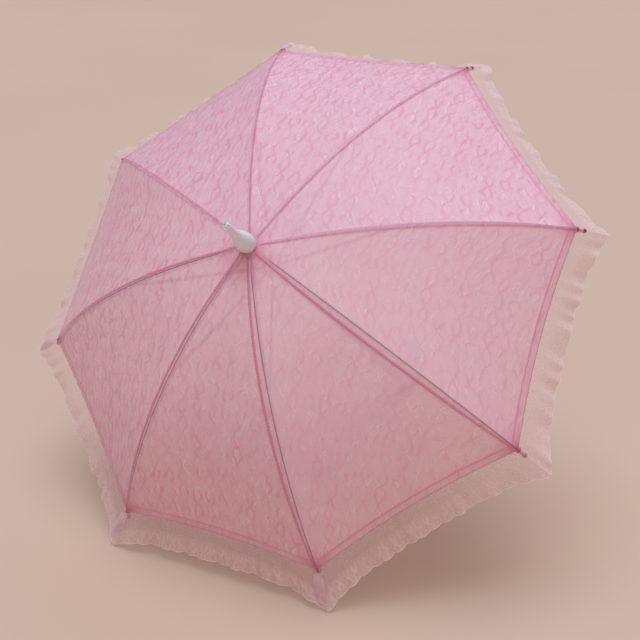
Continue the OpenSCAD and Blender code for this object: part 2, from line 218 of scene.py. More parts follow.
class ParasolColours(PropertyGroup):
    ground: colour("Lace ground", "Sheer net of the lace", (0.945, 0.58, 0.73))
    motif: colour("Lace motif", "Close-worked sprays and flowers", (0.90, 0.36, 0.54))
    # Painted highlight: the lace thread is painted paler than the lace, for the glints of light on it
    thread: colour("Lace thread glint", "Outline thread of the lace", (1.0, 0.78, 0.90))
    seam: colour("Seam", "Doubled lace of seams and hem", (0.80, 0.25, 0.42))
    frill: colour("Frill", "Sheer net of the frill", (0.93, 0.62, 0.68))
    frill_thread: colour("Frill thread", "Outline thread of the frill", (0.97, 0.82, 0.86))
    pleat: colour("Pleat", "Doubled net of the frill's flaps", (0.82, 0.52, 0.67))
    pleat_thread: colour("Pleat thread", "Outline thread of the flaps", (0.90, 0.68, 0.80))
    knot: colour("Knot", "Sewing thread at the corners", (0.50, 0.03, 0.16))
    tip: colour("Rib tip", "Pink plastic of the rib tips", (0.78, 0.25, 0.45))
    tip_end: colour("Rib tip end", "Darker end of the rib tips", (0.30, 0.03, 0.07))
    plastic: colour("White plastic", "Cap, handle, notch and runner", (0.86, 0.90, 1.0))
    # Painted shade: the ribs' steel is kept darker than the frame steel, for the shade inside the canopy
    # where they show through the lace
    rib: colour("Shaded rib steel", "Grey steel of the ribs", (0.30, 0.28, 0.34))
    steel: colour("Frame steel", "Plated stretchers, wires and catches", (0.78, 0.76, 0.77))
    shaft: colour("Shaft steel", "Bright shaft tube", (0.62, 0.62, 0.64))
    floor: colour("Floor", "Plain pale floor", (0.68, 0.498, 0.393))


class Cover:
    """The lace's surface, beside one rib: x along the rib, y to its side, z up the shaft."""

    def __init__(self):
        s = self.sizes = bpy.context.scene.parasol_sizes
        self.bend_z = -sqrt(s.rib_bend**2 - s.hinge_radius**2)
        self.crown = asin(s.crown_hole / s.rib_bend)
        self.corner = asin(s.corner_radius / s.rib_bend)
        self.arc = s.rib_bend * (self.corner - self.crown)

    def over_rib(self, share, out):
        s = self.sizes
        angle = self.crown + (self.corner - self.crown) * share
        rise = s.crown_rise / (1 + (s.rib_bend * np.sin(angle) / s.crown_spread) ** 4)
        reach = s.rib_bend + s.rib_height / 2 + s.lace_gap + rise + s.corner_lift * share**8 + out
        return reach * np.sin(angle), self.bend_z + reach * np.cos(angle)

    def point(self, share, across, out=0.0):
        r, z = self.over_rib(share, out)
        return np.stack((r * (1 + (cos(PITCH) - 1) * across / 2), r * sin(PITCH) * across / 2, z), -1)

    def hem_share(self, across):
        return 1 - self.sizes.hem_draw / self.arc * (1 - (1 - across) ** 2)

    def half_chord(self, share):
        return self.over_rib(share, 0.0)[0] * sin(PITCH / 2)

    def hem(self, across):
        """Hem points, slope down the cover and outward normal, at places across a half panel."""
        share = self.hem_share(across)
        here = self.point(share, across)
        above = self.point(share - SLOPE_STEP, across)
        outside = self.point(share, across, NORMAL_STEP)
        return here, unit(here - above), unit(outside - here)

    def frill_width(self, across):
        return self.sizes.frill_width + self.sizes.frill_corner * (1 - across) ** 6

    def flared(self, i, side, across):
        """Hem points, slope and normal of the frill, which stands out more on one side of the cover."""
        here, slope, normal = self.hem(across)
        turn = rib_turn(i) + across * PITCH / 2 * hand(side)
        flare = (self.sizes.frill_flare * (FLARE_MEAN - np.cos(turn - FLARE_TURN)))[:, None]
        out = slope * np.cos(flare) + normal * np.sin(flare)
        return here, out, normal * np.cos(flare) - slope * np.sin(flare)


def unit(v):
    return v / np.linalg.norm(v, axis=-1, keepdims=True)


def smooth(low, high, x):
    t = np.clip((x - low) / (high - low), 0, 1)
    return t * t * (3 - 2 * t)


def hand(side):
    return -1 if side == "left" else 1


def panel_of(i, side):
    """Number of the panel beside rib i."""
    return i if side == "right" else (i - 2) % len(RIBS) + 1


def rib_turn(i):
    return FIRST_TURN + PITCH * (i - 1)


def upper_side(i):
    """1 for the ribs on the upper, lighter side of the cover as it lies, 0 for the lower ones."""
    return smooth(-0.3, 0.5, np.sin(rib_turn(i)))


def rib_frame(i):
    """From a rib's own axes to the shared frame."""
    return SHAFT @ Matrix.Rotation(rib_turn(i), 4, "Z")


def grid_piece(name, along, across):
    """A flat grid, with the places of its points from 0 to 1 along and across."""
    bpy.ops.object.select_all(action="DESELECT")
    bpy.ops.mesh.primitive_grid_add(x_subdivisions=along, y_subdivisions=across, size=1)
    piece = bpy.context.object
    piece.name = piece.data.name = name
    places = np.empty(len(piece.data.vertices) * 3)
    piece.data.vertices.foreach_get("co", places)
    places = places.reshape(-1, 3) + 0.5
    return piece, places[:, 0], places[:, 1]


def shape(piece, points, i, side, uv, **values):
    """Moves a grid's points beside rib i, with its UV map in metres and named values at its points."""
    mesh = piece.data
    local = points * np.array((1, hand(side), 1))
    turn = np.array(rib_frame(i))
    placed = local @ turn[:3, :3].T + turn[:3, 3]
    placed[:, 2] = np.maximum(placed[:, 2], ON_FLOOR)
    mesh.vertices.foreach_set("co", placed.ravel())
    loops = np.empty(len(mesh.loops), int)
    mesh.loops.foreach_get("vertex_index", loops)
    mesh.uv_layers.active.data.foreach_set("uv", np.stack(uv, -1)[loops].ravel())
    for name, value in values.items():
        mesh.attributes.new(name, "FLOAT", "POINT").data.foreach_set("value", value)
    if side == "left":
        bpy.ops.object.mode_set(mode="EDIT")
        bpy.ops.mesh.select_all(action="SELECT")
        bpy.ops.mesh.flip_normals()
        bpy.ops.object.mode_set(mode="OBJECT")
    bpy.ops.object.shade_smooth()
    mesh.update()


def fold_with_panel(piece):
    """Bakes the piece's placing into its mesh."""
    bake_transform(piece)


class Web:
    """Adds nodes to a tree, each from the sockets or values that feed it."""

    def __init__(self, tree):
        self.tree = tree

    def node(self, kind, feeds, **settings):
        node = self.tree.nodes.new(kind)
        for key, value in settings.items():
            setattr(node, key, value)
        for socket, value in feeds.items():
            if isinstance(value, bpy.types.NodeSocket):
                self.tree.links.new(value, node.inputs[socket])
            else:
                node.inputs[socket].default_value = value
        return node

    def math(self, operation, *values):
        return self.node("ShaderNodeMath", dict(enumerate(values)), operation=operation).outputs[0]

    def times(self, a, b):
        return self.math("MULTIPLY", a, b)

    def scaled(self, value, k, start):
        """The value times k, from a start."""
        return self.math("MULTIPLY_ADD", value, k, start)

    def sine(self, value):
        return self.math("SINE", value)

    def vector(self, operation, *values):
        return self.node(
            "ShaderNodeVectorMath", dict(enumerate(values)), operation=operation).outputs[0]

    def step(self, value, low, high, start=0.0, end=1.0):
        """A soft step from start to end as the value goes from low to high."""
        feeds = {0: value, 1: low, 2: high, 3: start, 4: end}
        return self.node("ShaderNodeMapRange", feeds, interpolation_type="SMOOTHSTEP").outputs[0]

    def line(self, value, place, width):
        """1 along a line where the value is at its place."""
        off = self.math("ABSOLUTE", self.math("SUBTRACT", value, place))
        return self.step(off, width * 0.4, width, 1.0, 0.0)

    def most(self, *values):
        top = values[0]
        for value in values[1:]:
            top = self.math("MAXIMUM", top, value)
        return top

    def mix(self, factor, a, b):
        feeds = {0: factor, 6: rgba(a), 7: rgba(b)}
        return self.node("ShaderNodeMix", feeds, data_type="RGBA").outputs[2]

    def blend(self, factor, a, b):
        return self.node("ShaderNodeMix", {0: factor, 2: a, 3: b}).outputs[0]

    def noise(self, place, scale, detail):
        return self.node("ShaderNodeTexNoise", {"Vector": place, "Scale": scale, "Detail": detail})

    def attribute(self, name):
        return self.node("ShaderNodeAttribute", {}, attribute_name=name).outputs["Fac"]

    def place(self, kind):
        return self.node("ShaderNodeTexCoord", {}).outputs[kind]

    def split(self, vector):
        return self.node("ShaderNodeSeparateXYZ", {0: vector}).outputs

    def use(self, tree, **feeds):
        """The outputs of a node group, fed by the names of its inputs."""
        return self.node("ShaderNodeGroup", feeds, node_tree=tree).outputs

    def bump(self, strength, distance, height):
        feeds = {"Strength": strength, "Distance": distance, "Height": height}
        return self.node("ShaderNodeBump", feeds).outputs[0]

    def feed(self, sockets, **sources):
        """Links each source to the socket of its name, which has spaces for underscores."""
        for name, source in sources.items():
            self.tree.links.new(source, sockets[name.replace("_", " ")])


def rgba(value):
    return value if isinstance(value, bpy.types.NodeSocket) else (*value, 1)


def material(name, **values):
    """A new material's web and shader, with plain values set on the shader's own sockets."""
    made = bpy.data.materials.new(name)
    made.use_nodes = True
    shader = made.node_tree.nodes["Principled BSDF"]
    for socket, value in values.items():
        shader.inputs[socket.replace("_", " ")].default_value = value
    return made, Web(made.node_tree), shader


def group(name, inputs, outputs):
    """A new node group's web, with its input and output sockets by name."""
    tree = bpy.data.node_groups.new(name, "ShaderNodeTree")
    for socket, kind in inputs.items():
        tree.interface.new_socket(socket, in_out="INPUT", socket_type=kind)
    for socket in outputs:
        tree.interface.new_socket(socket, in_out="OUTPUT", socket_type="NodeSocketFloat")
    web = Web(tree)
    return web, web.node("NodeGroupInput", {}).outputs, web.node("NodeGroupOutput", {}).inputs


def floral_lace():
    """Wavy sprays that cross each other, with soft flowers between them, on a fine net."""
    found = bpy.data.node_groups.get("Floral lace")
    if found:
        return found
    web, given, out = group(
        "Floral lace",
        {"Place": "NodeSocketVector", "Spacing": "NodeSocketFloat", "Mesh": "NodeSocketFloat"},
        ("Motif", "Thread", "Net"))
    inverse = web.math("DIVIDE", 1.0, given["Spacing"])
    flat = web.node("ShaderNodeVectorMath", {0: given["Place"], 3: inverse}, operation="SCALE").outputs[0]
    ripple = web.vector("SUBTRACT", web.noise(flat, 2.3, 1.0).outputs["Color"], (0.5, 0.5, 0.5))
    soft = web.vector("MULTIPLY_ADD", ripple, (0.36, 0.36, 0.0), flat)

    def blossoms(scale, radius, petals, spin):
        """Flowers at random places: their insides, their rims and the scrolls inside them."""
        cell = web.node(
            "ShaderNodeTexVoronoi", {"Vector": soft, "Scale": scale, "Randomness": 0.6},
            voronoi_dimensions="2D")
        x, y, _ = web.split(web.vector("SUBTRACT", soft, cell.outputs["Position"]))
        chance = web.split(cell.outputs["Color"])
        turn = web.scaled(chance[0], 2 * pi, web.math("ARCTAN2", y, x))
        away = web.math("SQRT", web.math("ADD", web.times(x, x), web.times(y, y)))
        lobes = web.math("ABSOLUTE", web.sine(web.times(turn, petals / 2)))
        grown = web.scaled(chance[1], 0.35, 0.75)
        edge = web.times(grown, web.scaled(lobes, radius * 0.34, radius * 0.72))
        depth = web.math("SUBTRACT", edge, away)
        inside = web.step(depth, -0.02, 0.03)
        rim = web.line(depth, 0.012, 0.040)
        curl = web.sine(web.scaled(away, spin, turn))
        return inside, rim, web.times(web.step(curl, 0.45, 0.85), inside)

    def sprays(count, reach, length, width):
        """Strands that sway along y and cross each other, each with a cord at its sides."""
        x, y, _ = web.split(soft)
        sway = web.times(web.sine(web.times(y, 2 * pi / length)), reach)
        strands, cords = [], []
        for side in ("ADD", "SUBTRACT"):
            column = web.math("FRACT", web.times(web.math(side, x, sway), count))
            off = web.math("ABSOLUTE", web.math("SUBTRACT", column, 0.5))
            strands.append(web.step(off, width * 0.2, width, 1.0, 0.0))
            cords.append(web.line(off, width * 0.85, width * 0.4))
        return web.most(*strands), web.most(*cords)

    flower, flower_rim, rose = blossoms(scale=1.0, radius=0.42, petals=5, spin=34.0)
    spray, vein = sprays(count=1.35, reach=0.21, length=1.7, width=0.17)
    twig, twig_vein = sprays(count=2.7, reach=0.11, length=0.8, width=0.20)
    patch = web.step(web.noise(flat, 0.9, 2.0).outputs["Fac"], 0.35, 0.65, 0.5, 1.0)
    free = web.times(patch, web.scaled(flower, -0.6, 1.0))
    leafy = web.times(web.most(spray, web.times(twig, 0.45)), free)
    # The cords are broken into short streaks, which are painted glints of light on the threads
    glint_streak = web.noise(web.vector("MULTIPLY", flat, (3.4, 1.3, 1.0)), 1.0, 1.0).outputs["Fac"]
    corded = web.most(web.times(vein, 0.8), web.times(twig_vein, 0.4), web.times(rose, 0.3))
    across, along, _ = web.split(given["Place"])
    rows = web.math("DIVIDE", pi, given["Mesh"])
    slants = []
    for lean in (NET_LEAN, -NET_LEAN):
        wave = web.sine(web.times(web.scaled(along, lean, across), rows))
        slants.append(web.step(web.math("ABSOLUTE", wave), 0.1, 0.5, 1.0, 0.0))
    web.feed(
        out, Motif=web.most(leafy, web.times(flower_rim, 0.5)),
        Thread=web.times(corded, web.step(glint_streak, 0.50, 0.70, 0.05, 1.0)), Net=web.most(*slants))
    return web.tree


def stitch_run():
    """A run of stitches along one length, at a place across another."""
    found = bpy.data.node_groups.get("Stitch run")
    if found:
        return found
    inputs = dict.fromkeys(("Along", "Across", "Place", "Length"), "NodeSocketFloat")
    web, given, out = group("Stitch run", inputs, ("Stitch",))
    turn = web.math("DIVIDE", web.times(given["Along"], 2 * pi), given["Length"])
    dash = web.step(web.sine(turn), -0.75, -0.2)
    off = web.math("SUBTRACT", given["Across"], given["Place"])
    web.feed(out, Stitch=web.times(dash, web.line(off, 0.0, STITCH_WIDTH)))
    return web.tree


def cover_lace():
    """Sheer pink floral lace, doubled along the hem, gathered at the crown and the corners, with the cap's
    shadow painted below the crown.
    """
    pick, sizes = bpy.context.scene.parasol_colours, bpy.context.scene.parasol_sizes
    made, web, shader = material(
        "Cover lace", Sheen_Weight=0.2, Sheen_Roughness=0.45, Sheen_Tint=(1.0, 0.86, 0.95, 1),
        Specular_IOR_Level=0.5)
    place = web.place("UV")
    motif, thread, net = web.use(floral_lace(), Place=place, Spacing=sizes.motif, Mesh=COVER_MESH)
    hem, corner, crown, rib = (web.attribute(name) for name in ("hem", "corner", "crown", "rib"))
    doubled = web.step(hem, sizes.hem_width, sizes.hem_width + 0.0006, 1.0, 0.0)
    stitch = web.use(
        stitch_run(), Along=web.split(place)[0], Across=hem, Place=sizes.hem_width - STITCH_WIDTH,
        Length=HEM_STITCH)[0]
    edge = web.step(hem, 0.0004, 0.0016, 1.0, 0.0)
    ridge = web.line(hem, sizes.hem_width, 0.0018)
    # Gathers at the corners and the crown; the crown's stretch on its lower side is painted shadow of the cap
    gathers_and_cap_shadow = web.most(
        web.step(corner, 0.006, 0.030, 1.0, 0.0), web.step(crown, 0.010, 0.038, 0.75, 0.0))
    pulled = web.step(corner, 0.002, 0.012, 0.75, 0.0)
    # The lace thins over the ribs so they show through, less on the upper side, where this stands in for the
    # light that hides them
    thin = web.step(rib, 0.0005, 0.0012, 0.5, 1.0)
    cloud = web.noise(place, 14.0, 2.0).outputs["Fac"]
    # The pattern shows more where the lace is seen at a slant, and the threads' painted glints brighten there
    # too
    turned = web.node("ShaderNodeLayerWeight", {"Blend": 0.5}).outputs["Facing"]
    seen = web.times(motif, web.scaled(turned, 1.65, 0.47))
    glint = web.times(thread, web.scaled(turned, 0.9, 0.45))
    worked = web.mix(seen, pick.ground, pick.motif)
    thread_glinted = web.mix(glint, worked, pick.thread)
    mottled = web.mix(web.step(cloud, 0.35, 0.7, 0.0, 0.1), thread_glinted, pick.seam)
    banded = web.mix(web.times(doubled, 0.22), mottled, pick.seam)
    ridged = web.mix(web.times(ridge, 0.5), banded, pick.seam)
    lined = web.mix(web.times(edge, 0.6), ridged, shade(pick.seam, 0.5))
    tied_and_shadowed = web.mix(web.times(gathers_and_cap_shadow, 0.7), lined, pick.seam)
    bunched = web.mix(pulled, tied_and_shadowed, shade(pick.seam, 0.55))
    sewn = web.mix(web.times(stitch, 0.6), bunched, pick.seam)
    close = web.blend(motif, web.scaled(net, 0.06, 0.80), 0.87)
    cord = web.blend(thread, close, 0.92)
    folded = web.blend(web.times(doubled, 0.3), cord, 0.95)
    bound = web.most(
        folded, web.times(web.most(stitch, edge, ridge), 0.93), web.times(gathers_and_cap_shadow, 0.9))
    height = web.math("ADD", web.times(motif, 0.35), web.most(thread, stitch, ridge))
    web.feed(
        shader.inputs, Base_Color=sewn, Alpha=web.times(bound, thin),
        Roughness=web.blend(thread, 0.55, 0.45), Normal=web.bump(0.6, 0.0006, height))
    return made


def frill_lace():
    """Very sheer narrow lace with a corded, scalloped edge."""
    pick = bpy.context.scene.parasol_colours
    made, web, shader = material(
        "Frill lace", Sheen_Weight=0.2, Sheen_Roughness=0.5, Specular_IOR_Level=0.3)
    place = web.place("UV")
    u, v, _ = web.split(place)
    edge = web.attribute("edge")
    worked = web.step(edge, 0.016, 0.028, 1.0, 0.0)
    lace = web.use(floral_lace(), Place=place, Spacing=FRILL_MOTIF, Mesh=FRILL_MESH)
    motif = web.times(lace["Motif"], worked)
    thread = web.times(lace["Thread"], worked)
    border = web.most(
        web.line(edge, 0.0006, 0.0010), web.times(web.line(edge, 0.0042, 0.0008), 0.6),
        web.times(web.line(edge, 0.0125, 0.0008), 0.5))
    uneven = web.noise(place, 160.0, 1.0).outputs["Fac"]
    ruffle = web.sine(web.scaled(uneven, 7.0, web.times(u, 2 * pi / FRILL_GATHER)))
    gather = web.times(web.step(ruffle, -0.2, 1.0), web.step(v, 0.0, 0.026, 1.0, 0.15))
    ripple = web.sine(web.scaled(uneven, 3.0, web.times(v, 2 * pi / FRILL_ROW)))
    row = web.times(web.step(ripple, 0.3, 1.0), 0.5)
    sheer = web.scaled(worked, 0.18, web.scaled(gather, 0.05, 0.30))
    close = web.math("ADD", web.scaled(lace["Net"], 0.08, sheer), web.times(motif, 0.24))
    sewn = web.step(v, 0.0006, 0.0020, 0.7, 0.0)
    alpha = web.most(
        web.scaled(row, 0.07, close), web.times(thread, 0.75), web.times(border, 0.85), sewn)
    height = web.most(thread, border, row, web.times(gather, 0.25))
    web.feed(
        shader.inputs, Base_Color=web.mix(web.most(thread, border), pick.frill, pick.frill_thread),
        Alpha=alpha, Roughness=web.blend(thread, 0.65, 0.42), Normal=web.bump(0.4, 0.0005, height))
    return made


def seam_lace():
    """Felled seam: lace folded over itself, with a run of stitches at each edge."""
    pick = bpy.context.scene.parasol_colours
    made, web, shader = material(
        "Seam lace", Sheen_Weight=0.25, Sheen_Roughness=0.45, Specular_IOR_Level=0.35)
    place = web.place("UV")
    u, v, _ = web.split(place)
    half = bpy.context.scene.parasol_sizes.seam_width / 2
    off = web.math("ABSOLUTE", u)
    core = web.step(off, half * 0.1, half, 1.0, 0.0)
    stitch = web.use(stitch_run(), Along=v, Across=off, Place=half * 0.3, Length=SEAM_STITCH)[0]
    patch = web.noise(place, 120.0, 2.0).outputs["Fac"]
    base = web.mix(web.step(patch, 0.35, 0.65, 0.0, 0.5), pick.motif, pick.seam)
    thick = web.times(core, web.step(patch, 0.3, 0.7, 0.7, 0.95))
    # Painted light: the seam fades on the upper, lit side of the cover
    unfaded = web.math("SUBTRACT", 1.0, web.attribute("worn"))
    web.feed(
        shader.inputs, Base_Color=web.mix(core, base, pick.seam),
        Alpha=web.times(web.most(thick, web.times(stitch, 0.9)), unfaded),
        Roughness=web.step(patch, 0.3, 0.7, 0.45, 0.65),
        Normal=web.bump(0.5, 0.0006, web.most(core, stitch, patch)))
    return made


def worn_surface():
    """Fine rubs and a faint unevenness, for anything that is handled."""
    found = bpy.data.node_groups.get("Worn surface")
    if found:
        return found
    web, given, out = group(
        "Worn surface", {"Place": "NodeSocketVector", "Fine": "NodeSocketFloat"},
        ("Rub", "Uneven"))
    rub = web.noise(given["Place"], given["Fine"], 4.0).outputs["Fac"]
    web.feed(
        out, Rub=web.step(rub, 0.42, 0.68), Uneven=web.noise(given["Place"], 38.0, 2.0).outputs["Fac"])
    return web.tree


def handled(name, base, rubbed, smooth_to, rough_to, fine, **values):
    """A hard finish whose colour and gloss change a little over the surface."""
    made, web, shader = material(name, **values)
    rub, uneven = web.use(worn_surface(), Place=web.place("Object"), Fine=fine)
    web.feed(
        shader.inputs, Base_Color=web.mix(web.times(rub, web.times(uneven, 0.8)), base, rubbed),
        Roughness=web.blend(rub, smooth_to, rough_to), Normal=web.bump(0.08, 0.0004, rub))
    return made


def shade(base, k):
    return tuple(c * k for c in base)


def turned_piece(name, profile, segments):
    """A closed turned form about z, drawn out of a disc from (radius, height) to the next."""
    bpy.ops.object.select_all(action="DESELECT")
    r, z = profile[0]
    bpy.ops.mesh.primitive_circle_add(
        vertices=segments, radius=r, fill_type="NGON", location=(0, 0, z), enter_editmode=True)
    piece = bpy.context.object
    bpy.ops.mesh.select_all(action="SELECT")
    for next_r, next_z in profile[1:]:
        bpy.ops.mesh.extrude_region_move(TRANSFORM_OT_translate={"value": (0, 0, next_z - z)})
        k = next_r / r
        bpy.ops.transform.resize(value=(k, k, 1), center_override=(0, 0, next_z))
        r, z = next_r, next_z
    bpy.ops.mesh.select_all(action="SELECT")
    bpy.ops.mesh.normals_make_consistent(inside=False)
    bpy.ops.object.mode_set(mode="OBJECT")
    bpy.ops.object.transform_apply(location=True, rotation=True, scale=True)
    bpy.ops.object.shade_smooth_by_angle(angle=radians(50))
    piece.name = piece.data.name = name
    return piece


def wear(piece, finish):
    piece.data.materials.clear()
    piece.data.materials.append(finish)


class PARASOL_OT_cover(Operator):
    """Half panels of lace from rib to rib, in place of the frame's panels"""
    bl_idname = "parasol.cover"
    bl_label = "Lace cover"

    def execute(self, context):
        cover, sizes = Cover(), context.scene.parasol_sizes
        lace = cover_lace()
        for i in RIBS:
            for side in SIDES:
                piece, along, across = grid_piece(f"lace_{i}_{side}", 84, 22)
                share = cover.hem_share(across) * along
                down = share * cover.arc
                hem = (cover.hem_share(across) - share) * cover.arc
                slack = 4 * across * (1 - across) * np.exp(-hem / PUCKER_REACH)
                pucker = PUCKER_HEIGHT * slack * np.sin(2 * pi * across * PUCKERS)
                points = cover.point(share, across, pucker)
                off_rib = cover.half_chord(share) * across
                turn = rib_turn(i) + np.arctan2(points[:, 1], points[:, 0]) * hand(side)
                # The pattern's grain runs the same way in every panel
                shift_x, shift_y = (panel_of(i, side) * shift for shift in COVER_SHIFT)
                reach = down + sizes.crown_hole
                uv = (reach * np.cos(turn) + shift_x, reach * np.sin(turn) + shift_y)
                corner = np.hypot((1 - share) * cover.arc, off_rib)
                # The gathers at the crown reach further on its lower side, which paints the cap's shadow
                # there, and the ribs show least on the upper side, where a veil of lace stands in for the
                # light that hides them
                crown = down * (1.7 - smooth(-0.5, 0.7, -np.sin(turn)))
                veil = np.maximum(upper_side(i), 1 - smooth(0.015, 0.035, down))
                shape(
                    piece, points, i, side, uv, hem=hem, corner=corner, crown=crown,
                    rib=off_rib + RIB_VEIL * veil)
                wear(piece, lace)
                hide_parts(f"panel_{i}_{side}")
                fold_with_panel(piece)
        return {"FINISHED"}


class PARASOL_OT_frill(Operator):
    """Gathered frill with a scalloped edge, sewn under the hem"""
    bl_idname = "parasol.frill"
    bl_label = "Frill"

    def execute(self, context):
        cover, sizes = Cover(), context.scene.parasol_sizes
        lace = frill_lace()
        for i in RIBS:
            for side in SIDES:
                piece, down, across = grid_piece(f"frill_{i}_{side}", 14, 208)
                here, slope, normal = cover.flared(i, side, across)
                panel = panel_of(i, side)
                over = across if side == "right" else 2 - across
                wave = self.folds(over, panel, sizes.folds) * smooth(0, 0.1, across)
                scallop = np.abs(np.sin(pi * sizes.scallops * across)) ** 0.8 - 1
                width = cover.frill_width(across) + sizes.scallop_depth * scallop * smooth(0.6, 1.0, down)
                reach = down * width
                lift = sizes.fold_height * wave * down**1.2
                droop = FRILL_DROOP * down**2 * smooth(0.05, 0.4, across)
                points = here + slope * reach[:, None] + normal * (lift - droop - FRILL_UNDER)[:, None]
                run = over * cover.half_chord(1.0)
                uv = (run * 1.25 + panel * FRILL_SHIFT, reach)
                shape(piece, points, i, side, uv, edge=width - reach)
                wear(piece, lace)
                fold_with_panel(piece)
        return {"FINISHED"}

    def folds(self, over, panel, count):
        """Uneven folds over a whole panel, from 0 at one rib to 2 at the next."""
        main = np.sin(2 * pi * count * over + 1.7 * panel + 1.1 * np.sin(pi * over + panel))
        slow = np.sin(2 * pi * 0.43 * count * over + 2.9 * panel)
        swell = 0.6 + 0.4 * np.sin(2 * pi * 1.5 * over + 0.8 * panel)
        return 0.6 * main * swell + 0.7 * slow


class PARASOL_OT_seams(Operator):
    """Felled seam beside each rib, bowed a little away from it"""
    bl_idname = "parasol.seams"
    bl_label = "Seams"

    def execute(self, context):
        cover, sizes = Cover(), context.scene.parasol_sizes
        lace = seam_lace()
        for i in RIBS:
            piece, along, across = grid_piece(f"seam_{i}", 90, 6)
            share = SEAM_START + SEAM_SPAN * along
            drawn = 0.2 + 0.8 * max(0.0, cos(rib_turn(i) - SEAM_TURN)) ** 2
            bow = sizes.seam_bow * drawn * np.sin(pi * share) ** 0.8 + SEAM_CLEAR
            wide = sizes.seam_width * (0.55 + 0.45 * np.sin(pi * share) ** 0.5)
            aside = bow + (across - 0.5) * wide + wide * 0.3
            round_up = SEAM_CLEAR + 0.0004 * np.sin(pi * across)
            points = cover.point(share, np.clip(aside / cover.half_chord(share), 0, 1), round_up)
            uv = ((across - 0.5) * sizes.seam_width, share * cover.arc)
            # The seams on the upper side are painted fainter, standing in for the light that washes them out
            shape(piece, points, i, "left", uv, worn=np.full_like(share, SEAM_LIT_FADE * upper_side(i)))
            wear(piece, lace)
            fold_with_panel(piece)
        return {"FINISHED"}


def tip_plastic():
    """Pink plastic with a darker end."""
    pick = bpy.context.scene.parasol_colours
    made, web, shader = material("Tip plastic", Coat_Weight=0.3)
    rub = web.noise(web.place("Object"), 900.0, 3.0).outputs["Fac"]
    rubbed = web.mix(web.step(rub, 0.4, 0.7, 0.0, 0.3), pick.tip, shade(pick.tip, 0.7))
    end = web.step(web.attribute("along"), 0.0172, 0.0186)
    web.feed(
        shader.inputs, Base_Color=web.mix(end, rubbed, pick.tip_end),
        Roughness=web.step(rub, 0.3, 0.7, 0.28, 0.42))
    return made


class PARASOL_OT_corners(Operator):
    """Rib tips, the thread that ties each corner to its tip, and the pleat of frill over it"""
    bl_idname = "parasol.corners"
    bl_label = "Corners"

    def execute(self, context):
        cover, sizes = Cover(), context.scene.parasol_sizes
        pick = context.scene.parasol_colours
        plastic = tip_plastic()
        thread = handled(
            "Knot thread", pick.knot, shade(pick.knot, 1.8), smooth_to=0.5, rough_to=0.7, fine=2400.0)
        pleat = frill_pleat()
        tip_start = cover.corner - TIP_GRIP / sizes.rib_bend
        for i in RIBS:
            seat = rib_frame(i) @ Matrix.Translation((
                sizes.rib_bend * sin(tip_start), 0, cover.bend_z + sizes.rib_bend * cos(tip_start)))
            seat = seat @ Matrix.Rotation(radians(90) + tip_start, 4, "Y")
            tip = turned_piece(f"tip_{i}", (
                (1.7e-3, 0.4e-3), (2.1e-3, 0.9e-3), (2.15e-3, 7e-3), (2.0e-3, 11e-3), (1.9e-3, 15.5e-3),
                (2.05e-3, 17.2e-3), (2.5e-3, 18.4e-3), (2.62e-3, 19.8e-3), (2.45e-3, 21.2e-3),
                (1.8e-3, 22.2e-3), (0.8e-3, 22.6e-3)), 28)
            heights = np.array([v.co.z for v in tip.data.vertices])
            tip.data.attributes.new("along", "FLOAT", "POINT").data.foreach_set("value", heights)
            tip.data.transform(seat)
            wear(tip, plastic)
            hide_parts(f"rib_tip_{i}")
            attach(tip, f"rib_{i}")
            knot = self.knot(f"knot_{i}")
            knot.data.transform(seat @ Matrix.Translation((0, 0, KNOT_PLACE)))
            wear(knot, thread)
            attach(knot, f"rib_{i}")
            if i in FLAPS:
                self.pleat(cover, i, pleat)
        return {"FINISHED"}

    def knot(self, name):
        """Thread wound round the tip, with the knot on its outer side."""
        bpy.ops.object.select_all(action="DESELECT")
        bpy.ops.mesh.primitive_torus_add(
            major_radius=3.0e-3, minor_radius=0.55e-3, major_segments=28, minor_segments=8)
        wound = bpy.context.object
        bpy.ops.object.mode_set(mode="EDIT")
        bpy.ops.mesh.select_all(action="SELECT")
        for _ in range(2):
            bpy.ops.mesh.duplicate()
            bpy.ops.transform.translate(value=(0, 0.0002, 0.00095))
        bpy.ops.mesh.select_all(action="DESELECT")
        outer = (-3.7e-3, 0, 1.0e-3)
        bpy.ops.mesh.primitive_ico_sphere_add(subdivisions=2, radius=1.35e-3, location=outer)
        bpy.ops.transform.resize(value=(0.75, 1.25, 1.0), center_override=outer)
        bpy.ops.object.mode_set(mode="OBJECT")
        bpy.ops.object.shade_smooth()
        wound.name = wound.data.name = name
        return wound

    def pleat(self, cover, i, lace):
        """Pointed flap that the frill makes where it turns the corner."""
        piece, down, across = grid_piece(f"pleat_{i}", 24, 10)
        here, slope, normal = cover.flared(i, "right", np.zeros_like(down))
        aside = np.array((0.0, 1.0, 0.0))
        start, length, point = 0.003, 0.030, 0.011
        width, widening, sway = 0.0100, 0.003, 0.006
        arch_height, lift, droop = 0.0030, 0.0012, 0.003
        slant = across if i % 2 else 1 - across
        reach = start + down * (length + point * slant)
        wide = width + widening * smooth(0.0, 0.5, down)
        off = (across - 0.5) * wide - sway * (0.7 + 0.3 * sin(2.3 * i)) * down
        arch = arch_height * np.sin(pi * across) * smooth(0, 0.25, down) + lift - droop * down**2
        points = here + slope * reach[:, None] + normal * arch[:, None] + aside * off[:, None]
        edge = start + length + point * slant - reach
        shape(piece, points, i, "right", (off + i * PLEAT_SHIFT, reach), edge=edge)
        wear(piece, lace)
        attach(piece, f"rib_{i}")


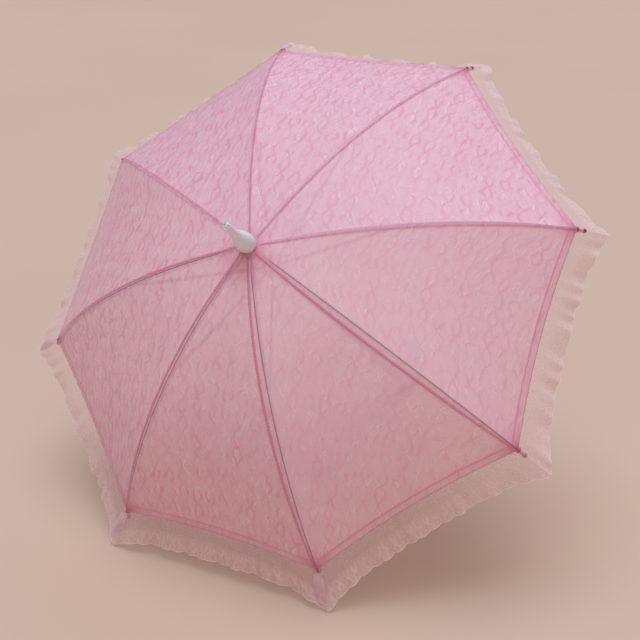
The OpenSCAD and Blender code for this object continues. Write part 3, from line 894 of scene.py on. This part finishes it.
def frill_pleat():
    """The frill's lace laid double."""
    pick = bpy.context.scene.parasol_colours
    made, web, shader = material("Pleated lace", Sheen_Weight=0.2, Sheen_Roughness=0.5)
    motif, thread, net = web.use(
        floral_lace(), Place=web.place("UV"), Spacing=PLEAT_MOTIF, Mesh=FRILL_MESH)
    edge = web.line(web.attribute("edge"), 0.0012, 0.0012)
    sheer = web.scaled(motif, 0.2, web.scaled(net, 0.12, 0.48))
    web.feed(
        shader.inputs, Base_Color=web.mix(thread, pick.pleat, pick.pleat_thread),
        Alpha=web.most(sheer, web.times(web.most(thread, edge), 0.85)),
        Roughness=web.blend(thread, 0.65, 0.45))
    return made


class PARASOL_OT_cap(Operator):
    """Turned white ferrule cap with a crossed tip"""
    bl_idname = "parasol.cap"
    bl_label = "Ferrule cap"

    def execute(self, context):
        mount = frame["record"]["mounts"][0]
        tip = mount["dims"]["r_mm"] / 1000
        neck = mount["dims"]["length_mm"] / 1000
        bulge, bulge_height, length, cut_depth = 0.011, 0.009, 0.060, 0.004
        straight = length - cut_depth
        taper_height = straight - neck - bulge_height
        foot = (Vector(mount["pos_m"]) - centre).dot(up) + neck / 2 - straight
        rounded = [(bulge - 0.0025 * (1 - sin(pi * k / 16)), bulge_height * (1 - cos(pi * k / 16)))
                   for k in range(9)]
        taper = [(tip + (bulge - tip) * (1 + cos(pi * k / 20)) / 2, bulge_height + taper_height * k / 20)
                 for k in range(1, 21)]
        profile = [(0.0078, 0.0)] + rounded + taper + [
            (tip, straight), (tip - 0.0003, length - 0.002), (tip - 0.0007, length - 0.0007),
            (tip - 0.0014, length)]
        cap = turned_piece("cap", [(r, foot + z) for r, z in profile], 72)
        for turn in (0, pi / 2):
            bpy.ops.object.select_all(action="DESELECT")
            bpy.ops.mesh.primitive_cube_add(size=1, location=(0, 0, foot + length), rotation=(0, 0, turn))
            cutter = bpy.context.object
            cutter.scale = (0.02, 0.0024, 2 * cut_depth)
            context.view_layer.objects.active = cap
            cut = cap.modifiers.new("Cut", "BOOLEAN")
            cut.operation = "DIFFERENCE"
            cut.object = cutter
            bpy.ops.object.modifier_apply(modifier="Cut")
            bpy.data.objects.remove(cutter)
        bpy.ops.object.select_all(action="DESELECT")
        cap.select_set(True)
        context.view_layer.objects.active = cap
        bpy.ops.object.shade_smooth_by_angle(angle=radians(35))
        cap.data.transform(SHAFT)
        pick = context.scene.parasol_colours
        wear(cap, handled(
            "Cap plastic", pick.plastic, shade(pick.plastic, 0.9), smooth_to=0.16, rough_to=0.3, fine=420.0,
            Coat_Weight=0.4, Coat_Roughness=0.08))
        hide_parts("ferrule_cap")
        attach(cap, "stick")
        return {"FINISHED"}


class PARASOL_OT_frame(Operator):
    """Finishes of the shaft, ribs, stretchers, runner, notch, catches and handle"""
    bl_idname = "parasol.frame"
    bl_label = "Frame finishes"

    def execute(self, context):
        pick = context.scene.parasol_colours
        # Painted shade: the ribs get a darker copy of the steel, for the shade where they show through the
        # lace
        shaded_rib_steel = handled(
            "Shaded rib steel", pick.rib, shade(pick.rib, 0.7), smooth_to=0.35, rough_to=0.5, fine=700.0,
            Metallic=0.6)
        steel = handled(
            "Frame steel", pick.steel, shade(pick.steel, 0.85), smooth_to=0.3, rough_to=0.5, fine=700.0,
            Metallic=0.3)
        bright = handled(
            "Shaft steel", pick.shaft, shade(pick.shaft, 0.85), smooth_to=0.16, rough_to=0.3, fine=520.0,
            Metallic=1.0)
        plastic = handled(
            "White plastic", pick.plastic, shade(pick.plastic, 0.9), smooth_to=0.2, rough_to=0.36, fine=420.0,
            Coat_Weight=0.3, Coat_Roughness=0.1)
        felt = handled(
            "Washer cloth", pick.ground, pick.seam, smooth_to=0.8, rough_to=0.95, fine=900.0,
            Sheen_Weight=0.4)
        finishes = {
            "shaft": bright, "handle_collar": plastic, "handle": plastic, "runner": plastic,
            "top_notch": plastic, "crown_washer": felt, **{f"rib_{i}": shaded_rib_steel for i in RIBS}}
        replaced = ("panel_", "rib_tip_", "ferrule_cap")
        for name, node in frame["nodes"].items():
            if not name.startswith(replaced):
                wear(node, finishes.get(name, steel))
        return {"FINISHED"}


class PARASOL_OT_stage(Operator):
    """Plain pale floor, soft studio light and the camera"""
    bl_idname = "parasol.stage"
    bl_label = "Stage"

    def execute(self, context):
        scene = context.scene
        pick = scene.parasol_colours
        bpy.ops.object.select_all(action="DESELECT")
        bpy.ops.mesh.primitive_grid_add(x_subdivisions=2, y_subdivisions=2, size=24, location=(0, 5, 0))
        floor = context.object
        floor.name = floor.data.name = "floor"
        paper, web, shader = material("Floor paper", Specular_IOR_Level=0.1, Roughness=0.9)
        cloud = web.noise(web.place("Object"), 1.4, 2.0).outputs["Fac"]
        web.feed(
            shader.inputs,
            Base_Color=web.mix(web.step(cloud, 0.3, 0.7), pick.floor, shade(pick.floor, 0.97)))
        wear(floor, paper)
        self.lamp("key", (0.05, 0.0, -1.0), spread=48, energy=2.26, tint=(0.80, 0.86, 1.0))
        self.lamp("back", (-0.15, -0.75, -0.65), spread=60, energy=0.68, tint=(0.78, 0.86, 1.0))
        self.lamp("fill", (-0.45, 0.72, -0.55), spread=70, energy=0.60, tint=(1.0, 0.95, 0.66))
        world = scene.world or bpy.data.worlds.new("World")
        scene.world = world
        world.use_nodes = True
        sky = world.node_tree.nodes["Background"]
        sky.inputs[0].default_value = (1.0, 0.78, 0.68, 1)
        sky.inputs[1].default_value = 0.12
        bpy.ops.object.camera_add(
            location=CAMERA_PLACE, rotation=[radians(angle) for angle in CAMERA_TURN])
        camera = context.object
        camera.data.sensor_width = SENSOR_MM
        camera.data.lens = FOCAL_PX / IMAGE_PX * SENSOR_MM
        scene.camera = camera
        scene.view_settings.view_transform = "Standard"
        return {"FINISHED"}

    def lamp(self, name, travel, spread, energy, tint):
        """Soft sunlight that travels one way."""
        bpy.ops.object.light_add(type="SUN")
        lamp = bpy.context.object
        lamp.name = name
        lamp.data.angle = radians(spread)
        lamp.data.energy = energy
        lamp.data.color = tint
        lamp.rotation_euler = Vector(travel).to_track_quat("-Z", "Y").to_euler()


class PARASOL_PT_pieces(Panel):
    """The parasol's pieces and their sizes and colours"""
    bl_idname = "PARASOL_PT_pieces"
    bl_label = "Lace parasol"
    bl_space_type = "VIEW_3D"
    bl_region_type = "UI"
    bl_category = "Parasol"

    def draw(self, context):
        for operator in OPERATORS:
            self.layout.operator(operator.bl_idname)
        for settings in (context.scene.parasol_sizes, context.scene.parasol_colours):
            for name in settings.__annotations__:
                self.layout.prop(settings, name)


OPERATORS = (
    PARASOL_OT_frame, PARASOL_OT_seams, PARASOL_OT_cover, PARASOL_OT_frill, PARASOL_OT_corners,
    PARASOL_OT_cap, PARASOL_OT_stage)
CLASSES = (ParasolSizes, ParasolColours, *OPERATORS, PARASOL_PT_pieces)


def register():
    for kind in CLASSES:
        bpy.utils.register_class(kind)
    bpy.types.Scene.parasol_sizes = PointerProperty(type=ParasolSizes)
    bpy.types.Scene.parasol_colours = PointerProperty(type=ParasolColours)


def unregister():
    del bpy.types.Scene.parasol_colours
    del bpy.types.Scene.parasol_sizes
    for kind in reversed(CLASSES):
        bpy.utils.unregister_class(kind)


def main():
    register()
    bpy.ops.parasol.frame()
    bpy.ops.parasol.seams()
    bpy.ops.parasol.cover()
    bpy.ops.parasol.frill()
    bpy.ops.parasol.corners()
    bpy.ops.parasol.cap()
    bpy.ops.parasol.stage()
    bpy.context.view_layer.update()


if __name__ == "__main__":
    main()
